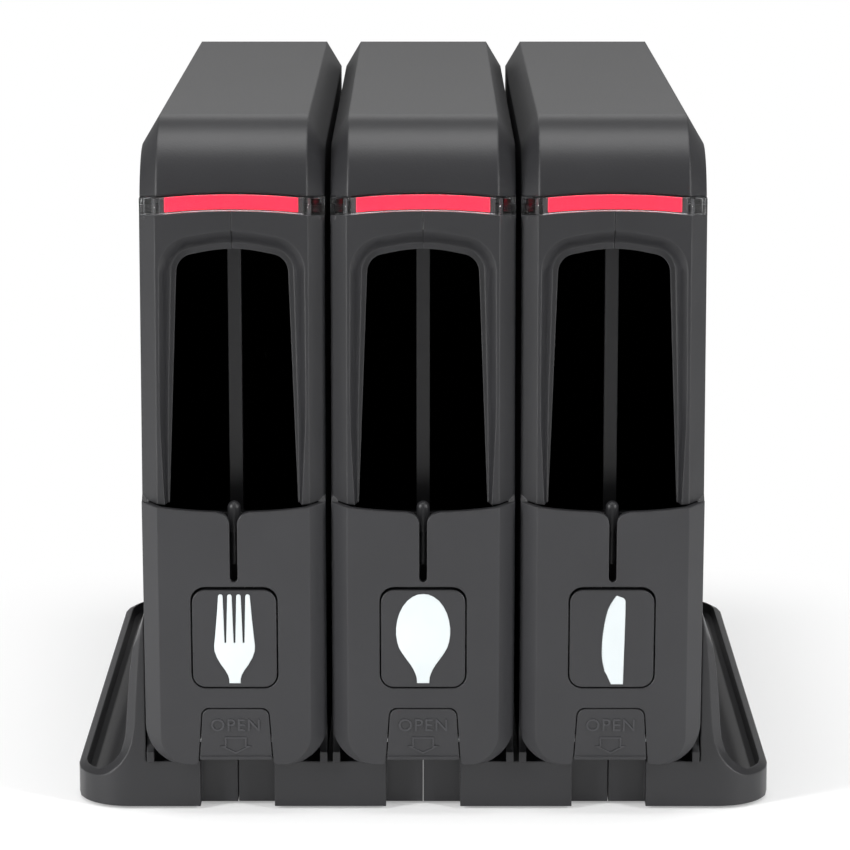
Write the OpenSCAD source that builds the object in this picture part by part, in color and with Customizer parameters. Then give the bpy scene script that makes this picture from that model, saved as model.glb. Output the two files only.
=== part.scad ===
// Countertop cutlery dispenser: three slim towers for forks, spoons and knives on one low base.
// Millimetres. X to the right, Y to the back, Z up. The origin is on the floor under the middle.

/* [Tower] */
// Width of one tower
tower_w = 59.2; // [58:0.2:60]
// Distance from one tower's middle to the next
tower_pitch = 61; // [60.6:0.2:66]
// Depth from the door's upper edge to the back wall
tower_d = 265; // [250:1:290]
// Height of the top above the floor
tower_h = 226.9; // [220:0.1:240]
// Wall of the casing halves and the hood
wall = 2.4; // [2:0.1:2.8]
// Bevel on the front corners
bevel = 5.2; // [4.5:0.1:5.6]
// Gap at the seam between the casing halves
seam = 0.2; // [0.1:0.05:0.4]
// Running gap between a moving cover and what is round it
gap = 0.35; // [0.3:0.05:0.4]

/* [Bezel and window] */
// Lean of the bezel, backwards, in degrees
bezel_lean = 2.8; // [2.2:0.1:3.2]
// How far the bezel's foot stands behind the door's upper edge
bezel_setback = 3.2; // [2.8:0.1:4]
// Depth of the bezel at the window
bezel_t = 6.5; // [6:0.1:7]
// Width of the window at its top
window_top_w = 35.3; // [32:0.1:37]
// Width of the window at its foot
window_foot_w = 41.6; // [39:0.1:43]
// Distance from the tower's top down to the window's top
window_down = 40.1; // [39:0.1:46]
// Radius of the window's upper corners
window_r = 6; // [4:0.5:8]
// Width of the scoop round the window
scoop_w = 6.4; // [5:0.1:6.8]
// Height of the scoop above the window
scoop_h = 6.8; // [5:0.1:7.2]
// Depth of the scoop
scoop_d = 4.4; // [3.8:0.1:4.8]
// Width of the flat lip round the window
lip_w = 1.5; // [1:0.1:1.8]

/* [Lens] */
// Distance from the tower's top down to the lens's lower edge
lens_down = 27.7; // [27:0.1:28.4]
// Height of the lens
lens_h = 5.3; // [4.5:0.1:5.6]
// Radius of the lens's arch
lens_arch_r = 222; // [200:1:260]
// Thickness of the clear bar
lens_t = 2.5; // [2:0.1:2.6]
// How far the lens wraps back along the sides
lens_wrap = 11; // [9:0.5:13]
// Thickness of the red strip
strip_t = 1; // [0.8:0.1:1.1]
// Width of the red strip
strip_w = 42.6; // [38:0.2:45]

/* [Hood] */
// Width of the flat top
hood_flat_w = 48; // [46:0.5:50]
// Height of the chamfer along the top
hood_chamfer_h = 9.4; // [8:0.1:11]
// Radius of the front upper edge
hood_r = 26; // [24:0.5:26.5]
// Distance from the tower's top down to the joint between hood and casing
hood_down = 26.9; // [26:0.1:27.8]

/* [Door] */
// Height of the door's upper edge at the middle
door_top_z = 102.8; // [100:0.1:104]
// Radius of the dip of that edge
door_dip_r = 176; // [160:1:220]
// Height of the door's lower edge
door_foot_z = 17.4; // [17.2:0.1:18]
// Lean of the door, forwards, in degrees
door_lean = 2.7; // [2.2:0.1:3]
// Wall of the door
door_t = 2.2; // [2:0.1:2.25]
// Radius of the door's lower corners
door_r = 12.5; // [11:0.5:13]
// Radius of the flat face's lower corners
door_face_r = 10; // [9:0.5:10.5]
// Width of the upright slot
slot_w = 2.5; // [2:0.1:3]
// Height of the slot's foot above the door's lower edge
slot_foot = 62.2; // [61.5:0.1:66]
// Radius of the slot's flared mouth
mouth_r = 4; // [3.4:0.1:4.6]
// Radius of the hinge pin
pin_r = 1.25; // [1.2:0.01:1.3]
// How far the hinge pin lies behind the door's face
pin_depth = 3.6; // [3.55:0.05:3.7]
// Height of the hinge pin above the door's lower edge
pin_up = 8; // [7.6:0.1:8.2]

/* [Push plate] */
// Width of the push plate
button_w = 27.2; // [25:0.1:28]
// Height of the push plate
button_h = 32.8; // [30:0.1:34]
// Corner radius of the push plate
button_r = 4.2; // [3:0.1:5]
// Height of the plate's middle above the door's lower edge
button_up = 43.1; // [42.8:0.1:43.8]
// Travel of the push plate
button_travel = 4; // [3.6:0.1:4.2]
// Radius of the plate's stem
stem_r = 2.5; // [2.3:0.05:2.6]

/* [Thumb tab] */
// Width of the tab at its top
tab_top_w = 21.7; // [20:0.1:22]
// Width of the tab at its foot
tab_foot_w = 23.6; // [22.5:0.1:23.7]
// Height of the tab's foot above the door's lower edge
tab_foot = 1.9; // [1.5:0.1:2.5]
// Height of the tab's top above the door's lower edge
tab_top = 19.2; // [18.5:0.1:20]
// Travel of the tab
tab_travel = 3.5; // [3:0.1:4]

/* [Feed] */
// Width of the guide rail
rail_w = 4.4; // [4:0.1:5]
// Depth of the guide rail
rail_d = 6; // [5:0.1:6.4]
// How far the rail lies behind the door's upper edge
rail_back = 25; // [24.5:0.5:26]
// Height of the feed rocker's axis
rocker_z = 52.4; // [52:0.1:52.8]
// How far that axis lies behind the door's upper edge
rocker_back = 25.5; // [25.3:0.1:25.8]
// Radius of the rocker's trunnions
trunnion_r = 2; // [1.8:0.05:2.2]
// Height of the stack's rest above the rocker's axis
rest_up = 3; // [2.8:0.1:3.3]
// Length of the follower plate
follower_l = 170; // [150:1:176]
// Width of the follower plate
follower_w = 38; // [34:0.5:42]

/* [Base] */
// Height of the base under the towers
plinth_h = 16.4; // [16:0.1:16.6]
// Distance of the base's front wall behind the door's upper edge
base_setback = 11.5; // [11:0.1:12]
// Depth of the base
base_d = 235; // [225:1:240]
// Wall of the base
base_t = 2.4; // [2:0.1:3]
// Width of the front recess under each tab
recess_w = 24.4; // [24.3:0.1:26]
// Depth of that recess
recess_d = 5.5; // [5:0.1:6]
// Width of a wing beside the outer tower
wing_w = 24; // [22:0.5:28]
// Radius of the wing's outer corners
wing_r = 18; // [14:0.5:20]
// Height of the hollow under a wing's dish
wing_hollow_h = 2.8; // [2:0.1:3.2]
// Height of the feet
foot_h = 1; // [0.8:0.1:1.5]
// Radius of the feet
foot_r = 6; // [5:0.5:7]

/* [Hidden] */
$fn = 48;
eps = 0.01;
front_y = -tower_d / 2;
back_y = tower_d / 2;
half_w = tower_w / 2;
window_z = tower_h - window_down;
lens_z = tower_h - lens_down;
hood_joint_z = tower_h - hood_down;
TOWERS = ["fork", "spoon", "knife"];
DARK = [0.13, 0.13, 0.135];
CLEAR = [0.85, 0.87, 0.88, 0.4];
RED = [0.82, 0.05, 0.12];
PALE = [0.82, 0.85, 0.85];
STEEL = [0.6, 0.61, 0.62];
RUBBER = [0.06, 0.06, 0.06];

// bezel and door planes
bezel_foot_y = front_y + bezel_setback;
bezel_foot_z = door_top_z;
door_rise = door_top_z - door_foot_z;
door_foot_y = front_y + door_rise * tan(door_lean);
flange = 0.5;
flange_y = door_foot_y + bevel + flange;

// lens
lens_front_y = bezel_foot_y + (lens_z - bezel_foot_z) * tan(bezel_lean) - 0.3;
lens_arch_z = lens_z - lens_arch_r;
strip_y = lens_front_y + lens_t + 0.1;
tongue_y = strip_y + strip_t + 0.1;
lens_end_y = lens_front_y + lens_wrap;

// hinge pin, in the tower's frame
pin_y = door_foot_y + pin_depth * cos(door_lean) - pin_up * sin(door_lean);
pin_z = door_foot_z + pin_depth * sin(door_lean) + pin_up * cos(door_lean);
pin_fit = 0.04;
ear_x = 16.9;
ear_t = 2.4;
ear_r = 3;
lug_gap = 0.3;
lug_x = ear_x + ear_t + lug_gap;
lug_t = 2;
lug_r = 2.3;
lobe_r = 5.9;

// push plate and its cage on the door
button_t = 2.6;
button_gap = 0.5;
button_gap_top = 1.1;
bridge_depth = 10.5;
bridge_t = 1.8;
cage_back = bridge_depth + bridge_t;
cage_h = 5.3;
cage_x = 15;
cage_t = 1.6;
stem_end = 16.5;

// latch yoke
yoke_depth = door_t + 0.3;
yoke_t = 2;
yoke_x = 18.6;
yoke_w = 2.4;
yoke_foot = 14.8;
yoke_bar_top = 23.6;
hook_up = 73.8;
hook_reach = 10;
keeper_z = door_foot_z + hook_up + 3.2;

// feed
rail_y = front_y + rail_back;
rocker_y = front_y + rocker_back;
rest_z = rocker_z + rest_up;
follower_front_y = rail_y + rail_d + 3;
follower_z = rest_z + 0.3;
follower_t = 4;
follower_h = 20;
rear_rest_y = follower_front_y + follower_l - 8;
roof_z = hood_joint_z - wall;
rail_foot_z = 70;
crossbar_z = 94;
floor_front_y = front_y + 27.5;

// casing screws
boss_r = 4.2;
well_r = 3;
screw_r = 1.25;
head_seat = 5.4;
BOSSES = [
    [back_y - 12.5, plinth_h + 13.6],
    [back_y - 12.5, (plinth_h + roof_z) / 2],
    [back_y - 12.5, roof_z - 12.6],
    [front_y + 19.5, window_z + 6]
];

// base
base_front_y = front_y + base_setback;
base_back_y = base_front_y + base_d;
outer_x = tower_pitch + half_w;
wing_x = outer_x + wing_w;
slit = 0.15;
plinth_side_x = outer_x + 1.6;
TIE_Y = [base_front_y + 40, base_back_y - 40];
tie_w = 20;
tie_t = 2;
tie_z = plinth_h - base_t - tie_t;
TIE_SCREW_X = [for (m = [-1, 1]) for (k = [14, 47, 75]) m * k];
tie_x = max(TIE_SCREW_X) + 8;
FOOT_X = [-wing_x + 16, -tower_pitch / 2, tower_pitch / 2, wing_x - 16];
FOOT_Y = [base_front_y + 22, base_back_y - 22];

// ---------------------------------------------------------------- helpers

// points of an arc round c, from angle a to angle b in n steps
function arc(c, r, a, b, n) = [for (i = [0:n]) c + r * [cos(a + (b - a) * i / n), sin(a + (b - a) * i / n)]];

// mirrored copy of a right-hand outline, so that it runs on down the left side
function both_sides(right) = concat(right, [for (i = [len(right) - 1:-1:0]) [-right[i][0], right[i][1]]]);

// rectangle with rounded corners, middle at the origin
module rounded(w, h, r) {
    hw = w / 2 - r;
    hh = h / 2 - r;
    polygon(concat(arc([hw, hh], r, 0, 90, 6), arc([-hw, hh], r, 90, 180, 6),
                   arc([-hw, -hh], r, 180, 270, 6), arc([hw, -hh], r, 270, 360, 6)));
}

// a side view outline, given as [y, z], made w wide across x = 0
module across(w) {
    translate([-w / 2, 0, 0]) rotate([90, 0, 90]) linear_extrude(height = w) children();
}

// a front view outline, given as [x, z], from depth y0 to depth y1
module front_view(y0, y1) {
    translate([0, y1, 0]) rotate([90, 0, 0]) linear_extrude(height = y1 - y0) children();
}

// a round bar along x from x0 to x1 at [y, z]
module bar_x(x0, x1, y, z, r) {
    translate([x0, y, z]) rotate([0, 90, 0]) cylinder(h = x1 - x0, r = r);
}

module block(x0, x1, y0, y1, z0, z1) {
    translate([x0, y0, z0]) cube([x1 - x0, y1 - y0, z1 - z0]);
}

module mirrored_x() {
    children();
    mirror([1, 0, 0]) children();
}

// round bar along y that stands for everything under an arch of radius r
module under_arch(r, y0, y1) {
    translate([0, y1, lens_arch_z]) rotate([90, 0, 0]) cylinder(h = y1 - y0, r = r, $fn = 360);
}

// everything above the dip of the door's upper edge, moved up by lift
module above_dip(lift) {
    translate([0, back_y, door_top_z + door_dip_r]) rotate([90, 0, 0])
        cylinder(h = tower_d + 20, r = door_dip_r - lift, $fn = 360);
}

// the door's own frame: y is the depth behind its face, z the height above its lower edge
module on_door() {
    translate([0, door_foot_y, door_foot_z]) rotate([door_lean, 0, 0]) children();
}

module on_bezel() {
    translate([0, bezel_foot_y, bezel_foot_z]) rotate([-bezel_lean, 0, 0]) children();
}

module at_tower(i) {
    translate([(i - 1) * tower_pitch, 0, 0]) children();
}

// coil of wire along z from z0 to z1
module coil(r, wire, turns, z0, z1) {
    rings = 8 * turns;
    sides = 6;
    rise = (z1 - z0 - 2 * wire) / rings;
    pitch_angle = atan(rise * 8 / (2 * PI * r));
    function ring(k) = [for (s = [0:sides - 1])
        let (a = 45 * k, b = 60 * s,
             out = r + wire * cos(b),
             side = wire * sin(b) * sin(pitch_angle),
             up = wire * sin(b) * cos(pitch_angle))
        [out * cos(a) + side * sin(a), out * sin(a) - side * cos(a), z0 + wire + rise * k + up]];
    points = [for (k = [0:rings]) each ring(k)];
    skin = [for (k = [0:rings - 1]) for (s = [0:sides - 1])
        let (n = (s + 1) % sides, a = k * sides)
        each [[a + s, a + sides + s, a + sides + n], [a + s, a + sides + n, a + n]]];
    first = [for (s = [1:sides - 2]) [0, s, s + 1]];
    last = [for (s = [1:sides - 2]) [rings * sides, rings * sides + s + 1, rings * sides + s]];
    polyhedron(points = points, faces = concat(skin, first, last));
}

// ---------------------------------------------------------------- casing

// half width of the window at height z above the bezel's foot
window_h = window_z - bezel_foot_z;
function window_half(z) = (window_foot_w + (window_top_w - window_foot_w) * z / window_h) / 2;

// the scoop's own width at height z: kept clear of the bevel, and running out towards the foot
function scoop_at(z) =
    min(scoop_w, half_w - bevel - 0.5 - window_half(z)) * sin(90 * min(1, max(0.15, (z + 3) / 38)));

// right-hand outline, spread outwards by the share f of the scoop's width
function scoop_ring(f) =
    let (top = window_h + f * scoop_h, r = window_r + f * scoop_w * 0.9, drop = 1.6,
         corner_z = top - drop - r, corner_x = window_half(corner_z) + f * scoop_at(corner_z) - r)
    concat(
        [for (i = [0:9]) let (z = -5 + (corner_z + 5) * i / 10) [window_half(z) + f * scoop_at(z), z]],
        arc([corner_x, corner_z], r, 0, 84, 9),
        [for (i = [1:4]) [corner_x * (1 - i / 4), top - drop * pow(1 - i / 4, 2)]]
    );

// the scoop's section from the face to the lip: distance from the window's edge, depth
SCOOP_SECTION = [[scoop_w + 0.5, -1], [scoop_w - 0.9, 0.25], [scoop_w - 2.6, 1.75], [scoop_w - 3.5, 3.4],
                 [lip_w + 0.3, scoop_d], [0.1, scoop_d + 0.05]];

module scoop_slice(c) {
    right = scoop_ring(c[0] / scoop_w);
    front_view(c[1], c[1] + eps) polygon(both_sides(right));
}

// everything that the scoop and the window take out of the bezel, in the bezel's frame
module scoop_and_window() {
    for (k = [0:len(SCOOP_SECTION) - 2]) hull() {
        scoop_slice(SCOOP_SECTION[k]);
        scoop_slice(SCOOP_SECTION[k + 1]);
    }
    front_view(-1, bezel_t + 1) polygon(both_sides(scoop_ring(0)));
}

// the bezel's plan on the right: front plate, bevel and the start of the side wall
module bezel_plan() {
    side_end = bevel + 3;
    side_in = half_w - wall + 0.4;
    polygon([[seam / 2, 0], [half_w - bevel, 0], [half_w, bevel], [half_w, side_end],
             [side_in, side_end], [side_in, bezel_t], [seam / 2, bezel_t]]);
}

module right_bezel() {
    intersection() {
        on_bezel() difference() {
            translate([0, 0, -20]) linear_extrude(height = 140) bezel_plan();
            scoop_and_window();
        }
        under_arch(lens_arch_r - 0.15, front_y - 10, lens_end_y + 10);
        above_dip(gap);
    }
}

// side wall, seen from the side: its lower front edge runs along the door's flange
function flange_edge(z) = flange_y + gap - (z - door_foot_z) * tan(door_lean);

module side_outline() {
    step_z = door_top_z + 2;
    lens_foot = lens_z - 2.5;
    polygon([[flange_edge(plinth_h), plinth_h], [back_y, plinth_h], [back_y, hood_joint_z],
             [lens_end_y + gap, hood_joint_z], [lens_end_y + gap, lens_foot],
             [front_y + 15, lens_foot - 1], [bezel_foot_y + bevel + 1, step_z + 3],
             [flange_edge(step_z), step_z]]);
}

module right_half() {
    tongue_top = lens_arch_r + lens_h - 0.5;
    difference() {
        union() {
            right_bezel();
            // side wall
            translate([half_w - wall / 2, 0, 0]) across(wall) side_outline();
            // back wall, roof and floor
            block(seam / 2, half_w - wall / 2, back_y - wall, back_y, plinth_h, hood_joint_z);
            block(seam / 2, half_w - wall / 2, lens_end_y + gap, back_y, roof_z, hood_joint_z);
            block(seam / 2, half_w - wall / 2, floor_front_y, back_y, plinth_h, plinth_h + wall);
            // tongue behind the lens, and the shelf that carries it
            intersection() {
                block(seam / 2, half_w - bevel, tongue_y, tongue_y + wall, window_z + 4, tower_h);
                under_arch(tongue_top, front_y, back_y);
            }
            block(seam / 2, half_w - wall / 2, tongue_y, lens_end_y + gap + 1, roof_z - 1.6, roof_z - 0.5);
            // hinge lug on a rib from the floor
            translate([lug_x + lug_t / 2, 0, 0]) across(lug_t) polygon([
                [pin_y, pin_z + lug_r], [pin_y + 8.5, pin_z + lug_r], [floor_front_y + 4, pin_z + 9],
                [floor_front_y + 4, plinth_h + 0.5], [floor_front_y + 0.5, plinth_h + 0.5],
                [pin_y + 9.5, pin_z - lug_r], [pin_y, pin_z - lug_r]
            ]);
            bar_x(lug_x, lug_x + lug_t, pin_y, pin_z, lug_r);
            // bearing for the rocker
            bar_x(half_w - wall - 2.7, half_w - wall / 2, rocker_y, rocker_z, trunnion_r + 2.4);
            // keeper for the latch
            block(17.2, half_w - wall / 2, rocker_y - 17, rocker_y - 14.6, keeper_z, keeper_z + 2.4);
            block(half_w - wall - 3, half_w - 1, rocker_y - 15, rocker_y - 9, keeper_z, keeper_z + 2.4);
            // screw bosses
            for (b = BOSSES) bar_x(seam / 2, half_w - wall / 2, b[0], b[1], boss_r);
        }
        // room for the door's round hinge lobe
        bar_x(half_w - wall - 0.5, half_w + 1, pin_y, pin_z, lobe_r + gap);
        // slit that the pin passes through
        bar_x(lug_x - 1, lug_x + lug_t + 1, pin_y, pin_z, pin_r + 0.02);
        bar_x(half_w - wall - 3, half_w - wall + 0.2, rocker_y, rocker_z, trunnion_r + 0.06);
        tower_screw_holes();
    }
}

module right_shell() {
    lap_y = back_y - wall;
    color(DARK) difference() {
        union() {
            right_half();
            // lap that shuts the seam in the back wall
            block(-2.5, 2.5, lap_y - 1.3, lap_y - 0.06, plinth_h + wall + 2, roof_z - 2);
            block(seam / 2 + 0.2, 2.5, lap_y - 1.3, lap_y + 0.3, plinth_h + wall + 2, roof_z - 2);
        }
        for (b = BOSSES) {
            bar_x(head_seat, half_w + 1, b[0], b[1], well_r);
            bar_x(-1, head_seat + 1, b[0], b[1], screw_r + 0.35);
        }
    }
}

module left_shell() {
    color(DARK) difference() {
        mirror([1, 0, 0]) right_half();
        for (b = BOSSES) bar_x(-10, 1, b[0], b[1], screw_r + 0.03);
    }
}

module shell_screws() {
    color(STEEL) for (b = BOSSES) {
        bar_x(-9, head_seat + 0.1, b[0], b[1], screw_r);
        difference() {
            bar_x(head_seat + 0.02, head_seat + 2.2, b[0], b[1], 2.7);
            for (a = [0, 90]) translate([head_seat + 1.9, b[0], b[1]]) rotate([a, 0, 0])
                cube([1.2, 3, 0.7], center = true);
        }
    }
}

// ---------------------------------------------------------------- hood and lens

// the hood's side view, drawn in by d at the front and t at the top
function hood_side(d, t, r, foot) = concat(
    [[back_y - foot, hood_joint_z - 4], [back_y - foot, tower_h - t]],
    arc([lens_front_y + 2.7 + d + r, tower_h - t - r], r, 90, 180, 14),
    [[lens_front_y + 2.7 + d, hood_joint_z - 4]]
);

// inset is 0 for the outside and the wall for the inside
module hood_form(inset) {
    hull() {
        across(hood_flat_w - 2 * inset * 0.6) polygon(hood_side(inset, inset, hood_r - inset, inset));
        across(tower_w - 2 * inset)
            polygon(hood_side(bevel + inset, hood_chamfer_h + inset * 0.6, hood_r - 7 - inset, inset));
    }
}

module hood() {
    color(DARK) difference() {
        hood_form(0);
        hood_form(wall);
        block(-half_w, half_w, lens_end_y + gap - eps, back_y, hood_joint_z - 10, hood_joint_z + 0.2);
        intersection() {
            block(-half_w, half_w, front_y, lens_end_y + gap, hood_joint_z - 10, tower_h);
            under_arch(lens_arch_r + lens_h + 0.15, front_y, lens_end_y + gap);
        }
    }
}

// plan of the clear bar: it follows the bevels and runs back along both sides
module lens_plan(inset) {
    w = half_w - inset;
    b = bevel - inset * 0.4;
    polygon(both_sides([[w, lens_end_y], [w, lens_front_y + b + inset], [w - b, lens_front_y + inset]]));
}

module lens() {
    color(CLEAR) intersection() {
        difference() {
            translate([0, 0, lens_z - 8]) linear_extrude(height = 20) lens_plan(0);
            translate([0, 0, lens_z - 9]) linear_extrude(height = 22) lens_plan(lens_t);
            block(-half_w, half_w, lens_end_y - eps, back_y, lens_z - 9, tower_h);
        }
        difference() {
            under_arch(lens_arch_r + lens_h, front_y - 10, lens_end_y);
            under_arch(lens_arch_r, front_y - 11, lens_end_y + 1);
        }
    }
}

module marker_strip() {
    color(RED) intersection() {
        block(-strip_w / 2, strip_w / 2, strip_y, strip_y + strip_t, lens_z - 8, tower_h);
        difference() {
            under_arch(lens_arch_r + lens_h - 0.3, front_y - 10, back_y);
            under_arch(lens_arch_r + 0.3, front_y - 11, back_y + 1);
        }
    }
}

// ---------------------------------------------------------------- door

// outline of the door from the front, [x, z] in the door's frame
module door_outline() {
    top = door_rise + 12;
    polygon(both_sides(concat(arc([half_w - door_r, door_r], door_r, 270, 360, 10), [[half_w, top]])));
}

module door_plan(inset) {
    b = bevel - inset * 0.4;
    polygon(both_sides([[half_w - inset, bevel + flange + (inset > 0 ? 1 : 0)], [half_w - inset, b + inset],
                        [half_w - inset - b, inset]]));
}

// outline of the tab; its opening is larger by grow, and flares out at the door's lower edge
module tab_outline(grow) {
    t = tab_top_w / 2 + grow;
    f = tab_foot_w / 2 + grow;
    r = 2.7;
    flare = grow > 0 ? concat([[f + 1.6, -1], [f + 1.6, 0]], arc([f + 1.6, 1.6], 1.6, 262, 182, 5)) : [];
    polygon(both_sides(concat(flare, [[f, tab_foot]], arc([t - r, tab_top + grow - r], r, 0, 90, 6))));
}

// what the slanted border takes off the lower corner of the flat face, on the right
module corner_cut() {
    x = half_w - bevel - door_face_r;
    difference() {
        block(x, half_w + 1, -1, bevel + 1, -1, door_face_r);
        translate([x, -1.5, door_face_r]) rotate([-90, 0, 0])
            cylinder(h = bevel + 3, r1 = door_face_r - 1.5, r2 = door_face_r + bevel + 1.5);
    }
}

// slot with a flared mouth, open at the door's upper edge
module slot_outline() {
    top = door_rise;
    r = mouth_r;
    s = slot_w / 2;
    right = concat(arc([0, slot_foot + s], s, 270, 360, 5),
                   arc([s + r, top - r], r, 180, 90, 6), [[s + r, top + 12]]);
    polygon(both_sides(right));
}

module door() {
    color(DARK) difference() {
        union() {
            difference() {
                intersection() {
                    on_door() difference() {
                        union() {
                            linear_extrude(height = door_rise + 12) difference() {
                                door_plan(0);
                                door_plan(door_t);
                            }
                            // round lobe beside the hinge
                            mirrored_x() intersection() {
                                bar_x(half_w - door_t, half_w, pin_depth, pin_up, lobe_r);
                                linear_extrude(height = 40) polygon([
                                    [half_w - 3, bevel - 2.9], [half_w, bevel], [half_w, 20], [half_w - 3, 20]
                                ]);
                            }
                            // thicker wall behind the round corner
                            mirrored_x() block(22.1, half_w - bevel + 0.4, 1, 3.9, 0, 5);
                        }
                        mirrored_x() corner_cut();
                    }
                    on_door() front_view(-1, 30) door_outline();
                }
                above_dip(0);
            }
            on_door() {
                // ears on the hinge pin, then the cage behind the push plate
                mirrored_x() {
                    bar_x(ear_x, ear_x + ear_t, pin_depth, pin_up, ear_r);
                    block(ear_x, ear_x + ear_t, door_t / 2, pin_depth, pin_up - ear_r, pin_up + ear_r);
                    block(cage_x, cage_x + cage_t, 1, cage_back, button_up - cage_h, button_up + cage_h);
                }
                block(-cage_x - cage_t, cage_x + cage_t, bridge_depth, cage_back, button_up - cage_h,
                      button_up + cage_h);
            }
        }
        on_door() {
            // room for the push plate, the tab and the slot
            translate([0, 0, button_up + (button_gap_top - button_gap) / 2]) front_view(-1, door_t + 1)
                rounded(button_w + 2 * button_gap, button_h + button_gap + button_gap_top, button_r + button_gap);
            front_view(-1, door_t + 0.5) tab_outline(gap);
            front_view(-1, door_t + 1) slot_outline();
            translate([0, bridge_depth - 1, button_up]) rotate([-90, 0, 0])
                cylinder(h = bridge_t + 2, r = stem_r + 0.06);
            // the lugs turn in these pockets
            mirrored_x() translate([lug_x + lug_t / 2, 0, 0]) across(lug_t + 2 * lug_gap) polygon([
                [0.95, pin_up + 2.9], [0.95, pin_up - 2.8], [door_t, pin_up - 5.2], [door_t, -1],
                [pin_depth + 5, -1], [pin_depth + 5, pin_up + 2.9]
            ]);
            bar_x(-ear_x - ear_t - 1, ear_x + ear_t + 1, pin_depth, pin_up, pin_r + pin_fit);
        }
    }
}

module door_pin() {
    color(STEEL) bar_x(-lug_x - lug_t, lug_x + lug_t, pin_y, pin_z, pin_r);
}

module latch() {
    yoke_back = yoke_depth + yoke_t;
    bar_foot = yoke_bar_top - 3.4;
    color(DARK) on_door() {
        front_view(0, door_t) tab_outline(0);
        // lip at the foot, then the plate behind the door with its cross bar and spring arm
        block(-tab_foot_w / 2 + 0.2, tab_foot_w / 2 - 0.2, -0.5, door_t, tab_foot, tab_foot + 1.2);
        block(-9.5, 9.5, door_t - 0.1, yoke_depth + 0.1, yoke_foot, tab_top - 0.5);
        block(-14, 14, yoke_depth, yoke_back, yoke_foot, yoke_bar_top);
        block(-yoke_x - yoke_w, yoke_x + yoke_w, yoke_depth, yoke_back, bar_foot, yoke_bar_top);
        block(-2.2, 2.2, yoke_depth, bridge_depth + 1.4, bar_foot, yoke_bar_top);
        // two rods with their hooks
        mirrored_x() {
            block(yoke_x, yoke_x + yoke_w, yoke_depth, yoke_back, yoke_bar_top - 1, hook_up);
            block(yoke_x, yoke_x + yoke_w, yoke_depth, hook_reach, hook_up - 2.4, hook_up);
            block(yoke_x, yoke_x + yoke_w, hook_reach - 2, hook_reach, hook_up - 2.4, hook_up + 2.3);
        }
    }
}

module latch_spring() {
    color(STEEL) on_door() translate([0, bridge_depth - 1.4, 0])
        coil(1.5, 0.3, 9, yoke_bar_top + 0.05, button_up - cage_h - 0.05);
}

module button() {
    color(DARK) on_door() {
        translate([0, 0, button_up]) front_view(0, button_t) rounded(button_w, button_h, button_r);
        translate([0, button_t - 0.1, button_up]) rotate([-90, 0, 0])
            cylinder(h = stem_end - stem_r - button_t + 0.1, r = stem_r);
        translate([0, stem_end - stem_r, button_up]) sphere(r = stem_r);
    }
}

module button_spring() {
    color(STEEL) on_door() translate([0, 0, button_up]) rotate([-90, 0, 0])
        coil(3.6, 0.3, 4, button_t + 0.05, bridge_depth - 0.05);
}

// ---------------------------------------------------------------- pictograms

// all three are drawn from the foot up, and set down by half of their height
module fork_outline() {
    tine_x = 1.46;
    tine_r = 0.73;
    tine_top = 29.4;
    slot_z = 13.7;
    translate([0, -15]) {
        polygon(both_sides([[1.8, 0], [1.85, 1.4], [2.25, 2.8], [3.1, 4.4], [4.5, 6.4], [5.8, 8.8], [6.5, 10.9],
                            [6.6, 12.6], [6.5, slot_z]]));
        mirrored_x() {
            polygon([[0.28, slot_z - 0.1], [2.67, slot_z - 0.1], [tine_x + tine_r, tine_top],
                     [tine_x - tine_r, tine_top]]);
            polygon([[3.23, slot_z - 0.1], [6.5, slot_z - 0.1], [6.2, 16.5], [5.7, 22],
                     [3 * tine_x + tine_r, tine_top], [3 * tine_x - tine_r, tine_top]]);
            for (x = [tine_x, 3 * tine_x]) polygon(arc([x, tine_top - 0.05], tine_r, 0, 180, 8));
        }
    }
}

// egg-shaped bowl that runs into its neck
module spoon_outline() {
    translate([0, -15]) polygon(both_sides([
        [2, 0], [2.1, 1.8], [2.5, 3.2], [3.2, 4.8], [4.1, 6.3], [5.6, 8.4], [6.8, 10.2], [7.8, 12], [8.4, 14],
        [8.75, 16.4], [8.75, 18.6], [8.4, 21.2], [7.7, 23.6], [6.6, 25.9], [5.2, 27.8], [3.5, 29.2], [1.8, 30],
        [0, 30.2]
    ]));
}

// blade with its teeth on the left, a straight back and a round tip
BLADE_EDGE = [[1.3, 30.1], [0.3, 28.7], [-0.6, 27.2], [-1.5, 25.3], [-2.1, 22.8], [-2.6, 20.2], [-3, 17.2],
              [-3.25, 14.2], [-3.35, 11.2], [-3.2, 8.6], [-2.9, 6.8], [-2.4, 4.8]];

module knife_outline() {
    // three teeth on each stretch of the edge
    teeth = [for (i = [0:len(BLADE_EDGE) - 2]) for (k = [0:2]) for (tip = [0, 1])
        let (p = BLADE_EDGE[i], q = BLADE_EDGE[i + 1], f = (k + tip * 0.5) / 3)
        p + (q - p) * f + [tip * 0.3, 0]];
    translate([0, -15.4]) polygon(concat(
        [[-0.1, 0], [3.8, 0], [3.95, 8], [4.15, 16], [4.3, 25]], arc([2.7, 27.9], 1.6, 10, 80, 4),
        teeth, [[-2.4, 4.8], [-1.5, 3.2]]
    ));
}

module icon(i) {
    color(PALE) on_door() translate([0, 0, button_up]) front_view(-0.25, -eps)
        if (i == 0) fork_outline();
        else if (i == 1) spoon_outline();
        else knife_outline();
}

// ---------------------------------------------------------------- feed

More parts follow.
